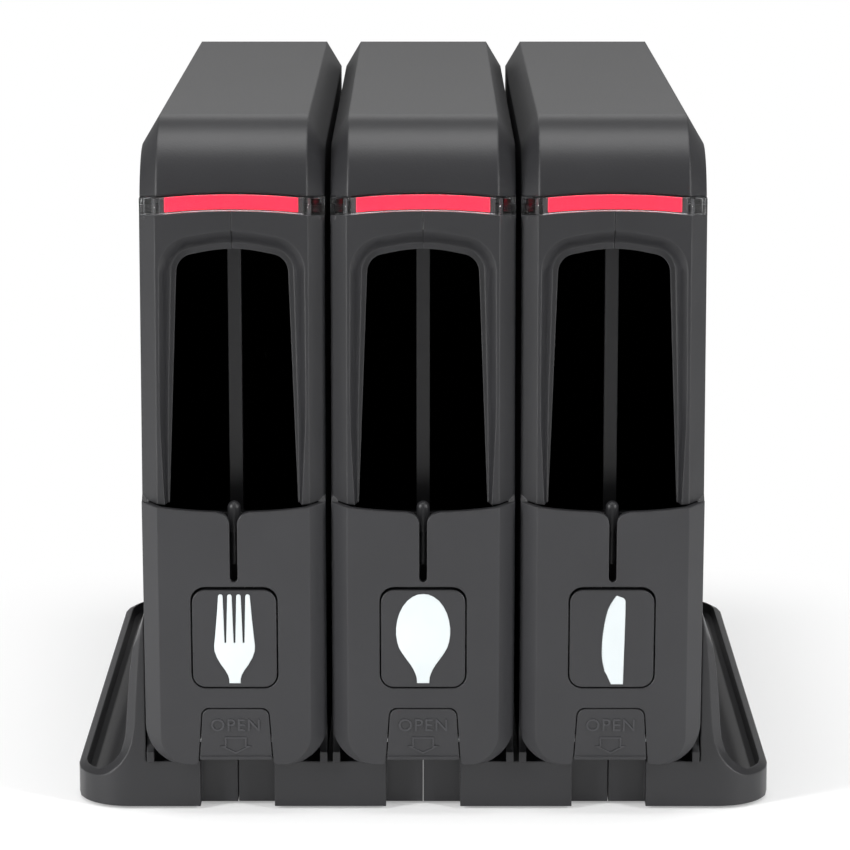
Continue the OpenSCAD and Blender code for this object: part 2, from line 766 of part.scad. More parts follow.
module guide_rail() {
    knob_y = front_y + 8.5;
    color(DARK) {
        block(-rail_w / 2, rail_w / 2, rail_y, rail_y + rail_d, rail_foot_z, roof_z);
        block(-half_w + wall, half_w - wall, rail_y - 4, rail_y - 0.5, crossbar_z, crossbar_z + 4);
        block(-rail_w / 2, rail_w / 2, rail_y - 1, rail_y + 1, crossbar_z, crossbar_z + 4);
        // neck and round knob that stand in the mouth of the door's slot
        block(-1.4, 1.4, knob_y, rail_y - 1, crossbar_z + 1, crossbar_z + 4);
        translate([0, knob_y, crossbar_z - 10]) cylinder(h = 12, r = 1.5);
        translate([0, knob_y, crossbar_z + 1]) cylinder(h = 7.7, r = 2.1);
        translate([0, knob_y, crossbar_z + 8.7]) sphere(r = 2.1);
    }
}

// steel weight that rides on the rail and keeps the stack down
module follower() {
    w = follower_w / 2;
    y0 = follower_front_y;
    color(DARK) {
        block(-w, w, y0, y0 + follower_l, follower_z, follower_z + follower_t);
        block(-w, w, y0, y0 + 3, follower_z, follower_z + follower_h);
        block(-1.5, 1.5, y0, y0 + follower_l * 0.8, follower_z, follower_z + 12);
        // cheeks on both sides of the rail
        mirrored_x()
            block(rail_w / 2 + 0.3, rail_w / 2 + 3, rail_y, y0 + 1, rail_foot_z + 1, follower_z + follower_h);
    }
}

// two-finger lever on its own trunnions
module rocker() {
    tail_front = rocker_y - 6.6;
    finger_w = 8;
    color(DARK) {
        bar_x(-half_w + wall + 3, half_w - wall - 3, rocker_y, rocker_z, 2.8);
        bar_x(-half_w + wall + 0.3, half_w - wall - 0.3, rocker_y, rocker_z, trunnion_r);
        block(-finger_w, finger_w, rocker_y, rocker_y + 15, rocker_z, rest_z);
        across(2 * finger_w) polygon([
            [tail_front, rocker_z + 4], [rocker_y - 1.4, rocker_z - 2.4], [rocker_y + 1.4, rocker_z + 2.4],
            [tail_front + 3, rocker_z + 8], [tail_front + 3, rocker_z + 12], [rocker_y + 1, rocker_z + 12],
            [rocker_y + 1, rocker_z + 13.6], [tail_front, rocker_z + 13.6]
        ]);
    }
}

module chute() {
    skirt_x = 24;
    rear_y = rear_rest_y + 12;
    drop = 21;
    z_front = plinth_h + wall + 2;
    slope = drop / (rear_y - floor_front_y);
    lip_y = base_front_y + recess_d + 0.4;
    color(DARK) {
        difference() {
            across(2 * skirt_x) polygon([
                [floor_front_y, z_front - 1.6], [rear_y, z_front + drop - 1.6], [rear_y, z_front + drop],
                [floor_front_y, z_front]
            ]);
            // the hinge lugs' ribs pass here
            mirrored_x() block(lug_x - 0.5, half_w, floor_front_y - 1, floor_front_y + 4.5, plinth_h, z_front + 5);
        }
        // lip that leads over the front of the plinth
        across(33) polygon([
            [lip_y, plinth_h + 0.3], [floor_front_y + 1, z_front - 1.5],
            [floor_front_y + 1, z_front + slope], [lip_y, plinth_h + 1.6]
        ]);
        // ribs that stand on the floor
        for (k = [-3, -1, 1, 3]) translate([k * (skirt_x - 0.9) / 3, 0, 0]) across(1.8) polygon([
            [floor_front_y + 6, plinth_h + wall], [rear_y, plinth_h + wall], [rear_y, z_front + drop - 1],
            [floor_front_y + 6, z_front - 0.5]
        ]);
        // rear rest of the stack
        block(-skirt_x, skirt_x, rear_rest_y, rear_rest_y + 1.8, z_front + drop - 4, rest_z);
        block(-skirt_x, skirt_x, rear_rest_y, rear_rest_y + 7, rest_z - 1.8, rest_z);
    }
}

// ---------------------------------------------------------------- base

// The wing's top is one skin: an edge line all round, a crest just inside it, and a dish inside the crest.
// Points across the wing from the tower's side outwards: distance from that side, height above the floor
WING_EDGE = [[0.4, 66], [0.9, 63.5], [1.6, 60], [2.2, 56], [2.9, 46.5], [3.6, 35], [4.1, 28], [5, 22.7],
             [6.6, 18.6], [8.9, 15.4], [11.6, 12.9], [14.2, 11.3], [16.2, 10.7], [17.6, 10.6], [18.73, 10.6]];
WING_CREST = [[0.4, 65], [1.4, 63], [2.6, 59.3], [4.3, 54.2], [5.5, 46.5], [6.5, 35], [6.9, 28.6], [7.5, 23.4],
              [8.8, 19], [10.8, 16.2], [13, 14.2], [14.6, 13], [15.6, 12.4], [16.3, 12.1], [16.9, 12]];
WING_DISH = [[0.4, 65], [1.4, 63], [2.6, 59.3], [4.3, 54.2], [5.5, 46.5], [6.5, 35], [7, 28], [7.8, 21],
             [9.1, 15.2], [11.2, 10.6], [13.8, 8], [16.6, 6.9], [19, 7], [20.6, 8.4], [21.4, 12]];
// Depths behind the base's front of the lines across the dish
WING_LINES = [10, 13, 18, 30, 45, 60, 80, 100, 120, 140, 160, 180, 200, 217, 222, 225];
crest_h = 12;
edge_h = 10.6;
crest_in = 2.6;
wing_d = 235;
// the corner's radius at the edge line, and the distance of its middle from the tower's side
corner_r = 18;
corner_a = 6;

// the side wall loses height towards the back
function lowered(z, low, d) =
    let (f = min(1, max(0, (d - 20) / 195))) z > low ? low + (z - low) * (1 - 0.9 * f * f * (3 - 2 * f)) : z;
// depth of a line of corner radius r at distance a from the tower's side
function corner_d(a, r) = a > corner_a ? corner_r - sqrt(r * r - pow(a - corner_a, 2)) : corner_r - r;
// distance of the crest from the tower's side at depth d
function crest_a(d) = let (r = corner_r - crest_in, c = max(0, corner_r - min(d, wing_d - d)))
    corner_a + sqrt(r * r - c * c);

// line i of the front or back end, as [a, d, z]
function edge_end(i, back) = let (a = WING_EDGE[i][0], d = corner_d(a, corner_r))
    [a, back ? wing_d - d : d, lowered(WING_EDGE[i][1], edge_h, back ? wing_d : 0)];
function crest_end(i, back) = let (a = WING_CREST[i][0], d = corner_d(a, corner_r - crest_in))
    [a, back ? wing_d - d : d, lowered(WING_CREST[i][1], crest_h, back ? wing_d : 0)];
// point i of the dish at depth d, drawn in where the crest runs round the corner
function dish_at(i, d) = let (a = WING_DISH[i][0], squeeze = (crest_a(d) - 7) / 14.4)
    [a > 7 ? 7 + (a - 7) * squeeze : a, d, lowered(WING_DISH[i][1], crest_h, d)];
// point i between the crest's end and the first dish line
function between(i, s, drop, back) =
    let (c = crest_end(i, back), f = dish_at(i, back ? WING_LINES[len(WING_LINES) - 1] : WING_LINES[0]),
         d = c[1] + (f[1] - c[1]) * s)
    i == len(WING_DISH) - 1 ? [crest_a(d), d, crest_h]
                            : [c[0] + (f[0] - c[0]) * s, d, c[2] + (f[2] - c[2]) * drop];
// the edge line beside point p of the crest
function edge_beside(p) =
    let (k = corner_r / (corner_r - crest_in), near = min(p[1], wing_d - p[1]),
         d = near < corner_r ? corner_r - (corner_r - near) * k : near,
         a = near < corner_r ? corner_a + (p[0] - corner_a) * k : corner_a + corner_r)
    [a, p[1] < wing_d / 2 ? d : wing_d - d, edge_h];

module wing_body() {
    n = len(WING_DISH);
    rows = concat(
        [[for (i = [0:n - 1]) crest_end(i, false)], [for (i = [0:n - 1]) between(i, 0.3, 0.7, false)],
         [for (i = [0:n - 1]) between(i, 0.65, 0.94, false)]],
        [for (d = WING_LINES) [for (i = [0:n - 1]) dish_at(i, d)]],
        [[for (i = [0:n - 1]) between(i, 0.65, 0.94, true)], [for (i = [0:n - 1]) between(i, 0.3, 0.7, true)],
         [for (i = [0:n - 1]) crest_end(i, true)]]
    );
    m = len(rows);
    rim = concat([for (i = [0:n - 1]) edge_end(i, false)],
                 [for (j = [1:m - 2]) edge_beside(rows[j][n - 1])],
                 [for (i = [n - 1:-1:0]) edge_end(i, true)]);
    r = len(rim);
    inner = [for (j = [0:m - 1]) rows[j][0]];
    function down(p) = [p[0], p[1], foot_h];
    own = concat([for (row = rows) each row], rim, [for (p = rim) down(p)], [for (p = inner) down(p)]);
    rim0 = n * m;
    foot0 = rim0 + r;
    side0 = foot0 + r;
    // the crest's own loop beside the rim
    loop = concat([for (i = [0:n - 1]) i], [for (j = [1:m - 2]) j * n + n - 1],
                  [for (i = [n - 1:-1:0]) (m - 1) * n + i]);
    skin = [for (j = [0:m - 2]) for (i = [0:n - 2]) let (p = j * n + i)
        each [[p, p + n, p + n + 1], [p, p + n + 1, p + 1]]];
    band = [for (k = [0:r - 2]) each [[rim0 + k, loop[k], loop[k + 1]], [rim0 + k, loop[k + 1], rim0 + k + 1]]];
    wall = [for (k = [0:r - 2]) each [[foot0 + k, rim0 + k, rim0 + k + 1], [foot0 + k, rim0 + k + 1, foot0 + k + 1]]];
    side = [for (j = [0:m - 2]) each [[side0 + j, side0 + j + 1, (j + 1) * n], [side0 + j, (j + 1) * n, j * n]]];
    ends = [[foot0, side0, 0], [foot0, 0, rim0],
            [foot0 + r - 1, (m - 1) * n, side0 + m - 1], [foot0 + r - 1, rim0 + r - 1, (m - 1) * n]];
    under = concat(
        [for (k = [0:n - 2]) [side0, foot0 + k, foot0 + k + 1]],
        [for (j = [0:m - 2]) each [[side0 + j, foot0 + n - 1 + j, foot0 + n + j],
                                   [side0 + j, foot0 + n + j, side0 + j + 1]]],
        [for (k = [0:n - 2]) [side0 + m - 1, foot0 + n - 1 + m - 1 + k, foot0 + n + m - 1 + k]]
    );
    translate([outer_x, base_front_y, 0]) scale([wing_w / 24, base_d / wing_d, 1])
        polyhedron(points = own, faces = concat(skin, band, wall, side, ends, under));
}

// plan from x0 to x1, with corners of radius r at x1 where r isn't 0, drawn in by inset
module base_plan(x0, x1, r, inset) {
    y0 = base_front_y + inset;
    y1 = base_back_y - inset;
    a = x0 + inset;
    b = x1 - inset;
    c = r - inset;
    front = r > 0 ? arc([b - c, y0 + c], c, 270, 360, 8) : [[b, y0]];
    back = r > 0 ? arc([b - c, y1 - c], c, 0, 90, 8) : [[b, y1]];
    polygon(concat([[a, y1], [a, y0]], front, back));
}

// posts for the feet, short ones under the wings
module base_posts() {
    for (x = FOOT_X) for (y = FOOT_Y) translate([x, y, foot_h])
        cylinder(h = (abs(x) > outer_x ? 4 : plinth_h - base_t - foot_h + 0.5), r = foot_r + 1.4);
}

module base_cuts() {
    for (i = [0:2]) at_tower(i)
        block(-recess_w / 2, recess_w / 2, base_front_y - 1, base_front_y + recess_d, -1, plinth_h + 1);
    for (y = TIE_Y) {
        for (x = TIE_SCREW_X) translate([x, y, tie_z]) cylinder(h = tie_t + 2.1, r = screw_r + 0.03);
        // notches that let the straps through the walls
        block(-tie_x - 0.3, tie_x + 0.3, y - tie_w / 2 - 0.3, y + tie_w / 2 + 0.3, -1, tie_z + tie_t);
    }
    for (i = [0:2]) at_tower(i) tower_screw_holes();
    for (x = FOOT_X) for (y = FOOT_Y) translate([x, y, foot_h - 1]) cylinder(h = 1.8, r = foot_r + 0.05);
}

module recess_wall(x0, x1) {
    w = recess_w / 2 + base_t;
    for (i = [0:2]) intersection() {
        at_tower(i) block(-w, w, base_front_y, base_front_y + recess_d + base_t, foot_h, plinth_h);
        block(x0, x1, base_front_y, base_back_y, 0, plinth_h);
    }
}

module centre_base(x0, x1) {
    color(DARK) difference() {
        union() {
            difference() {
                translate([0, 0, foot_h]) linear_extrude(height = plinth_h - foot_h) base_plan(x0, x1, 0, 0);
                translate([0, 0, foot_h - 1]) linear_extrude(height = plinth_h - base_t - foot_h + 1)
                    base_plan(x0, x1, 0, base_t);
            }
            recess_wall(x0, x1);
            intersection() {
                base_posts();
                block(x0, x1, base_front_y, base_back_y, 0, plinth_h);
            }
        }
        base_cuts();
    }
}

module right_end_base() {
    x0 = tower_pitch + slit;
    color(DARK) difference() {
        union() {
            difference() {
                union() {
                    translate([0, 0, foot_h]) linear_extrude(height = plinth_h - foot_h)
                        base_plan(x0, plinth_side_x, 0, 0);
                    wing_body();
                }
                translate([0, 0, foot_h - 1]) linear_extrude(height = plinth_h - base_t - foot_h + 1)
                    base_plan(x0, plinth_side_x, 0, base_t);
                translate([0, 0, foot_h - 1]) linear_extrude(height = 1 + wing_hollow_h)
                    base_plan(plinth_side_x - 2 * base_t, wing_x, wing_r, base_t);
            }
            recess_wall(x0, plinth_side_x);
            intersection() {
                base_posts();
                block(x0, wing_x, base_front_y, base_back_y, 0, plinth_h);
            }
        }
        base_cuts();
    }
}

module tie_plates() {
    color(STEEL) for (y = TIE_Y) difference() {
        block(-tie_x, tie_x, y - tie_w / 2, y + tie_w / 2, tie_z, tie_z + tie_t);
        for (x = TIE_SCREW_X) translate([x, y, tie_z - 1]) cylinder(h = tie_t + 2, r = screw_r + 0.3);
    }
}

module tie_screws() {
    color(STEEL) for (y = TIE_Y) for (x = TIE_SCREW_X) translate([x, y, 0]) {
        translate([0, 0, tie_z - 0.02]) cylinder(h = tie_t + 2, r = screw_r);
        difference() {
            translate([0, 0, tie_z - 1.8]) cylinder(h = 1.79, r = 2.6);
            for (a = [0, 90]) rotate([0, 0, a]) translate([-1.5, -0.35, tie_z - 2]) cube([3, 0.7, 1]);
        }
    }
}

// two screws hold each tower down, from under the base
TOWER_SCREW_Y = [base_front_y + 66, base_back_y - 18];
tower_screw_x = 16;

// holes for them in one tower's frame
module tower_screw_holes() {
    for (y = TOWER_SCREW_Y) for (x = [-tower_screw_x, tower_screw_x]) translate([x, y, plinth_h - 6])
        cylinder(h = 6 + wall + 1, r = screw_r + 0.03);
}

module tower_screws() {
    color(STEEL) for (i = [0:2]) for (y = TOWER_SCREW_Y) for (x = [-tower_screw_x, tower_screw_x])
        translate([(i - 1) * tower_pitch + x, y, 0]) {
            translate([0, 0, plinth_h - base_t - 0.02]) cylinder(h = base_t + wall, r = screw_r);
            translate([0, 0, plinth_h - base_t - 1.8]) cylinder(h = 1.79, r = 2.6);
        }
}

module rubber_feet() {
    top = foot_h + 0.7;
    color(RUBBER) for (x = FOOT_X) for (y = FOOT_Y) translate([x, y, 0])
        rotate_extrude() polygon([[0, 0], [foot_r - 0.5, 0], [foot_r, 0.5], [foot_r, top], [0, top]]);
}

// ---------------------------------------------------------------- assembly

for (i = [0:2]) at_tower(i) {
    left_shell();
    right_shell();
    hood();
    lens();
    marker_strip();
    door();
    door_pin();
    latch();
    latch_spring();
    button();
    button_spring();
    icon(i);
    guide_rail();
    follower();
    rocker();
    chute();
    shell_screws();
}
mirror([1, 0, 0]) right_end_base();  // left_end_base
centre_base(-tower_pitch + slit, -slit);  // left_centre_base
centre_base(slit, tower_pitch - slit);  // right_centre_base
right_end_base();
tie_plates();
tie_screws();
tower_screws();
rubber_feet();
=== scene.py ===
"""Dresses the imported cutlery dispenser: moulded charcoal casings, hoods, lenses, doors, tabs and the base.

Everything is in metres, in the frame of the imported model. Towers stand side by side along X and face -Y.
"""

import math

import bmesh
import bpy
from mathutils import Matrix, Vector


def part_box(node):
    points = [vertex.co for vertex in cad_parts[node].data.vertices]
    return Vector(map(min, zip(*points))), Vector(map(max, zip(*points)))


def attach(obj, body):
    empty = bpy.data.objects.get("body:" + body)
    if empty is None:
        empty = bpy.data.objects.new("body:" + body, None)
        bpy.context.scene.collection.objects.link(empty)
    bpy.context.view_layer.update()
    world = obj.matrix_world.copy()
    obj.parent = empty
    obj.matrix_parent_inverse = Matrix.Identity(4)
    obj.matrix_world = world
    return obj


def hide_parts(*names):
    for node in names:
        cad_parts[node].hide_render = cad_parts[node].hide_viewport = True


bl_info = {
    "name": "Cutlery Dispenser",
    "version": (1, 0, 0),
    "blender": (4, 5, 0),
    "location": "3D View > Sidebar > Dispenser",
    "description": "Builds the visible pieces and finishes of a three-tower cutlery dispenser",
    "category": "Object",
}

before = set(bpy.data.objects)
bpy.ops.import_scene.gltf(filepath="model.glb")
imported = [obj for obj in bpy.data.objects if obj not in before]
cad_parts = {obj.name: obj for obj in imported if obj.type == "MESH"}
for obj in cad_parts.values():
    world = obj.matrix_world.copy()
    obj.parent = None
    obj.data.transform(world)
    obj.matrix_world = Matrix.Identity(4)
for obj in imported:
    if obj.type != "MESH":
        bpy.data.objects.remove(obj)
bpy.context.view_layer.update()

MM = 0.001
TOWERS = ("fork", "spoon", "knife")
BASE_MODULES = ("left_end_base", "left_centre_base", "right_centre_base", "right_end_base")

# Clean-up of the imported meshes, and the turn from which an edge counts as sharp.
SAME_CORNER = 0.002 * MM
SAME_PLANE = math.radians(0.3)
SHARP = math.radians(26)

# The hollow of a casing, whose faces get painted shade, a darker and duller copy of the plastic: half its
# width round the tower's middle, and its ends.
INSIDE_HALF_WIDTH = 28 * MM
INSIDE_Y = (-116 * MM, 131 * MM)
INSIDE_Z = (14 * MM, 200 * MM)

# The doors: how far they lean back, and the foot of their outer face.
DOOR_LEAN = math.radians(2.7)
DOOR_FOOT_Y = -128.4726 * MM
DOOR_FOOT_Z = 17.4 * MM

# The raised word and arrow on a thumb tab: their letters' height against their font size, the spacing of the
# letters, the height of the word's middle on the door's face, and the arrow's outer and inner outline there,
# in mm.
CAPITAL_SHARE = 0.73
LETTER_SPACING = 1.12
WORD_UP = 13.9 * MM
ARROW = (
    ((-3.5, 9.6), (3.5, 9.6), (3.5, 6.6), (5.1, 6.6), (0, 4.0), (-5.1, 6.6), (-3.5, 6.6)),
    ((-3.05, 9.15), (3.05, 9.15), (3.05, 6.15), (3.4, 6.15), (0, 4.5), (-3.4, 6.15), (-3.05, 6.15)),
)

# Rounding of the pictograms' rim.
ICON_EDGE = 0.1 * MM

# The springs: what they move, radius of the winding, turns, and whether they lie front to back.
SPRINGS = (("button", 3.6 * MM, 4, True), ("latch", 1.5 * MM, 9, False))
WIRE_RADIUS = 0.3 * MM

# The camera's sensor in mm and its place beside the middle, and the lamps: name, place, width, height
# and power in watts.
SENSOR_WIDTH = 36
CAMERA_X = 0.6 * MM
LAMP_AIM = (0, 0, 0.12)
LAMPS = (
    ("top softbox", (0.0, -0.1, 1.3), 1.0, 0.7, 10),
    ("back softbox", (0.0, 1.3, 0.95), 1.4, 0.5, 2.5),
    ("left strip", (-0.95, -0.7, 0.45), 0.14, 0.9, 16),
    ("right strip", (0.95, -0.7, 0.45), 0.14, 0.9, 12),
)

# The floor: half its width, half of the area under the object, and how far past it the shadow fades.
FLOOR_REACH = 6.0
FOOTPRINT = (0.114, 0.125, 0)
SHADOW_REACH = 0.09


def centre_x(tower):
    """Middle plane of a tower, from its hood."""
    low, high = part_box(f"{tower}_hood")
    return (low[0] + high[0]) / 2


# ------------------------------------------------------------------ settings


def length_setting(name, description, default, **limits):
    """A length in metres."""
    return bpy.props.FloatProperty(
        name=name, description=description, default=default, unit="LENGTH", **limits
    )


def colour_setting(name, description, default):
    """A colour of three linear values."""
    return bpy.props.FloatVectorProperty(
        name=name, description=description, default=default, subtype="COLOR", size=3
    )


class DispenserSizes(bpy.types.PropertyGroup):
    """Sizes of the details that the finish adds."""

    edge_radius: length_setting("Edge radius", "Rounding of the moulded edges", 0.5 * MM, min=0.1 * MM)
    fine_edge: length_setting("Fine edge", "Rounding of thin edges and small pieces", 0.25 * MM)
    hood_edge: length_setting("Hood edge", "Rounding of the hood's long edges", 1.0 * MM)
    letter_height: length_setting("Letter height", "Height of the word on the thumb tab", 4.3 * MM)
    relief: length_setting("Relief", "How far the word and the arrow stand out", 0.35 * MM)
    grain: length_setting("Grain", "Size of the moulded grain on the casings", 0.5 * MM)


class DispenserColours(bpy.types.PropertyGroup):
    """Colours of the finishes."""

    plastic: colour_setting("Plastic", "Charcoal of the casings", (0.015, 0.015, 0.0165))
    strip: colour_setting("Strip", "Red of the marker strip", (0.80, 0.008, 0.035))
    symbol: colour_setting("Symbol", "Pale grey of the pictograms", (0.54, 0.58, 0.59))
    steel: colour_setting("Steel", "Pins, screws and springs", (0.56, 0.57, 0.58))


class DispenserStudio(bpy.types.PropertyGroup):
    """Camera and lights."""

    focal_length: bpy.props.FloatProperty(
        name="Focal length", description="Camera lens, in mm", default=156.7
    )
    camera_pitch: bpy.props.FloatProperty(
        name="Camera pitch",
        description="Tilt below the horizontal",
        default=math.radians(11.71),
        subtype="ANGLE",
    )
    camera_distance: length_setting("Camera distance", "Ahead of the middle", 1.288)
    camera_height: length_setting("Camera height", "Above the floor", 0.371)
    world_light: bpy.props.FloatProperty(
        name="World light", description="Strength of the even light", default=0.3
    )


def sizes():
    """The scene's sizes."""
    return bpy.context.scene.dispenser_sizes


def colours():
    """The scene's colours."""
    return bpy.context.scene.dispenser_colours


# ------------------------------------------------------------------ materials


def new_material(name):
    """An empty node material: returns it, its nodes, its links and its surface shader."""
    material = bpy.data.materials.new(name)
    material.use_nodes = True
    nodes = material.node_tree.nodes
    return material, nodes, material.node_tree.links, nodes["Principled BSDF"]


def add_node(nodes, kind, **values):
    """A new shader node with those values set."""
    node = nodes.new(kind)
    for key, value in values.items():
        setattr(node, key, value)
    return node


def grain_noise(nodes, links, size, detail=2.0):
    """Noise in object space whose lumps measure size."""
    where = add_node(nodes, "ShaderNodeTexCoord")
    noise = add_node(nodes, "ShaderNodeTexNoise")
    noise.inputs["Scale"].default_value = 1.0 / size
    noise.inputs["Detail"].default_value = detail
    links.new(where.outputs["Object"], noise.inputs["Vector"])
    return noise


def blend_colours(nodes, links, factor, first, second):
    """Mixes two colours by a factor output; returns the colour output."""
    mix = add_node(nodes, "ShaderNodeMix", data_type="RGBA")
    links.new(factor, mix.inputs["Factor"])
    mix.inputs["A"].default_value = (*first, 1)
    mix.inputs["B"].default_value = (*second, 1)
    return mix.outputs["Result"]


def moulded_plastic(name, colour, roughness, grain, depth, spread=0.10, edge=0.5 * MM, shine=0.4, painted_glow=0.0):
    """Spark-grained plastic: a fine grain in bump and gloss, a slow drift of tone, softened edges, and an
    optional painted glow.
    """
    material, nodes, links, shader = new_material(name)
    shader.inputs["Specular IOR Level"].default_value = shine
    # painted glow: the surface gives off light of its own colour, though it is no lamp
    shader.inputs["Emission Color"].default_value = (*colour, 1)
    shader.inputs["Emission Strength"].default_value = painted_glow
    fine = grain_noise(nodes, links, grain)
    broad = grain_noise(nodes, links, 30 * MM, 3.0)
    darker = [c * 0.85 for c in colour]
    lighter = [c * 1.18 for c in colour]
    links.new(blend_colours(nodes, links, broad.outputs["Fac"], darker, lighter), shader.inputs["Base Color"])
    gloss = add_node(nodes, "ShaderNodeMapRange")
    gloss.inputs["To Min"].default_value = roughness - spread / 2
    gloss.inputs["To Max"].default_value = roughness + spread / 2
    links.new(fine.outputs["Fac"], gloss.inputs["Value"])
    links.new(gloss.outputs["Result"], shader.inputs["Roughness"])
    bump = add_node(nodes, "ShaderNodeBump")
    bump.inputs["Strength"].default_value = 0.55
    bump.inputs["Distance"].default_value = depth
    links.new(fine.outputs["Fac"], bump.inputs["Height"])
    soft = add_node(nodes, "ShaderNodeBevel", samples=6)
    soft.inputs["Radius"].default_value = edge
    links.new(soft.outputs["Normal"], bump.inputs["Normal"])
    links.new(bump.outputs["Normal"], shader.inputs["Normal"])
    return material


def satin_steel(name, colour):
    """Plain steel with small marks in tone and gloss."""
    material, nodes, links, shader = new_material(name)
    marks = grain_noise(nodes, links, 0.8 * MM, 4.0)
    shader.inputs["Metallic"].default_value = 1.0
    darker = [c * 0.8 for c in colour]
    links.new(blend_colours(nodes, links, marks.outputs["Fac"], darker, colour), shader.inputs["Base Color"])
    gloss = add_node(nodes, "ShaderNodeMapRange")
    gloss.inputs["To Min"].default_value = 0.25
    gloss.inputs["To Max"].default_value = 0.42
    links.new(marks.outputs["Fac"], gloss.inputs["Value"])
    links.new(gloss.outputs["Result"], shader.inputs["Roughness"])
    return material


def clear_plastic(name):
    """Polished clear plastic that lets the lamps through to what lies behind it."""
    material, nodes, links, shader = new_material(name)
    shader.inputs["Base Color"].default_value = (0.93, 0.94, 0.95, 1)
    shader.inputs["Roughness"].default_value = 0.04
    shader.inputs["IOR"].default_value = 1.49
    shader.inputs["Transmission Weight"].default_value = 1.0
    ripple = grain_noise(nodes, links, 4 * MM, 1.0)
    bump = add_node(nodes, "ShaderNodeBump")
    bump.inputs["Strength"].default_value = 0.15
    bump.inputs["Distance"].default_value = 0.1 * MM
    links.new(ripple.outputs["Fac"], bump.inputs["Height"])
    links.new(bump.outputs["Normal"], shader.inputs["Normal"])
    path = add_node(nodes, "ShaderNodeLightPath")
    clear = add_node(nodes, "ShaderNodeBsdfTransparent")
    mix = add_node(nodes, "ShaderNodeMixShader")
    links.new(path.outputs["Is Shadow Ray"], mix.inputs["Fac"])
    links.new(shader.outputs["BSDF"], mix.inputs[1])
    links.new(clear.outputs["BSDF"], mix.inputs[2])
    links.new(mix.outputs["Shader"], nodes["Material Output"].inputs["Surface"])
    return material


def finish(kind):
    """The finish of that kind, made on first use."""
    name = f"dispenser_{kind}"
    made = bpy.data.materials.get(name)
    if made:
        return made
    grain = sizes().grain
    charcoal = colours().plastic
    builders = {
        "casing": lambda: moulded_plastic(name, charcoal, 0.42, grain, 0.05 * MM),
        "hood": lambda: moulded_plastic(name, charcoal, 0.40, grain * 1.3, 0.06 * MM, edge=1.0 * MM),
        # painted bounce light: the doors, tabs and push plates take the charcoal 1.3 times lighter, standing
        # for light thrown up from the white floor
        "door": lambda: moulded_plastic(
            name, [c * 1.3 for c in charcoal], 0.42, grain * 0.8, 0.03 * MM, edge=0.6 * MM
        ),
        # painted highlight: the raised word and arrow take the charcoal 2.2 times lighter, standing for the
        # light caught on their edges
        "painted_relief_highlight": lambda: moulded_plastic(
            name, [c * 2.2 for c in charcoal], 0.35, grain, 0.01 * MM, edge=0.08 * MM
        ),
        # painted shade: a quarter of the charcoal, rougher and duller, for the faces in a casing's hollow and
        # the pieces inside it
        "inside": lambda: moulded_plastic(
            name, [c * 0.25 for c in charcoal], 0.7, grain, 0.03 * MM, shine=0.1
        ),
        "base": lambda: moulded_plastic(name, charcoal, 0.36, grain, 0.03 * MM, edge=0.8 * MM),
        # painted glow: the red strip gives off a little red light of its own to stay bright behind the clear
        # bar
        "strip": lambda: moulded_plastic(name, colours().strip, 0.3, 2 * MM, 0.01 * MM, shine=0.2, painted_glow=0.12),
        "symbol": lambda: moulded_plastic(name, colours().symbol, 0.5, grain, 0.01 * MM),
        "weight": lambda: moulded_plastic(name, (0.03, 0.03, 0.03), 0.35, 1.2 * MM, 0.03 * MM),
        "rubber": lambda: moulded_plastic(name, (0.018, 0.018, 0.018), 0.75, 0.6 * MM, 0.05 * MM),
        "clear": lambda: clear_plastic(name),
        "steel": lambda: satin_steel(name, colours().steel),
    }
    return builders[kind]()


# ------------------------------------------------------------------ mesh helpers


def link_mesh(name, mesh, kind, body, replaced=()):
    """Puts a mesh in the scene as a piece that rides on a body."""
    piece = bpy.data.objects.new(name, mesh)
    bpy.context.scene.collection.objects.link(piece)
    mesh.materials.clear()
    mesh.materials.append(finish(kind))
    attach(piece, body)
    if replaced:
        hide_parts(*replaced)
    return piece


def merged_copy(node):
    """The node's solid as a clean mesh: shared corners, and flat stretches as single faces."""
    shape = bmesh.new()
    shape.from_mesh(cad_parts[node].data)
    bmesh.ops.remove_doubles(shape, verts=shape.verts, dist=SAME_CORNER)
    bmesh.ops.dissolve_limit(
        shape, angle_limit=SAME_PLANE, verts=shape.verts, edges=shape.edges, use_dissolve_boundaries=False
    )
    return shape


def mark_edges(shape, rounded):
    """Marks every sharp edge: with a bevel weight if it gets rounded, or else as crisp."""
    layers = shape.edges.layers.float
    weight = layers.get("bevel_weight_edge") or layers.new("bevel_weight_edge")
    for edge in shape.edges:
        turned = edge.is_manifold and edge.calc_face_angle(0.0) > SHARP
        edge[weight] = 1.0 if turned else 0.0
        edge.smooth = rounded or not turned
    for face in shape.faces:
        face.smooth = True


def round_edges(piece, radius, segments=2):
    """Rounds the marked edges, if there is a radius, and keeps broad faces flat in the shading."""
    if radius:
        bevel = piece.modifiers.new("rounded edges", "BEVEL")
        bevel.width = radius
        bevel.segments = segments
        bevel.limit_method = "WEIGHT"
        bevel.use_clamp_overlap = True
        bevel.miter_outer = "MITER_ARC"
    flat = piece.modifiers.new("flat broad faces", "WEIGHTED_NORMAL")
    flat.mode = "FACE_AREA"
    flat.weight = 100
    flat.keep_sharp = True


def dressed(node, name, kind, body, radius, segments=2, in_painted_shade=None):
    """A piece with the node's own shape, its edges rounded, that stands for the node.

    Without a radius its edges stay crisp. The optional test tells from a face's centre whether the face gets
    painted shade, a darker and duller copy of the plastic.
    """
    shape = merged_copy(node)
    mark_edges(shape, bool(radius))
    if in_painted_shade:
        for face in shape.faces:
            face.material_index = int(in_painted_shade(face.calc_center_median()))
    mesh = bpy.data.meshes.new(name)
    shape.to_mesh(mesh)
    shape.free()
    marks = [face.material_index for face in mesh.polygons]
    piece = link_mesh(name, mesh, kind, body, (node,))
    if in_painted_shade:
        # the second material paints shade on the faces in the hollow
        mesh.materials.append(finish("inside"))
        mesh.polygons.foreach_set("material_index", marks)
    round_edges(piece, radius, segments)
    return piece


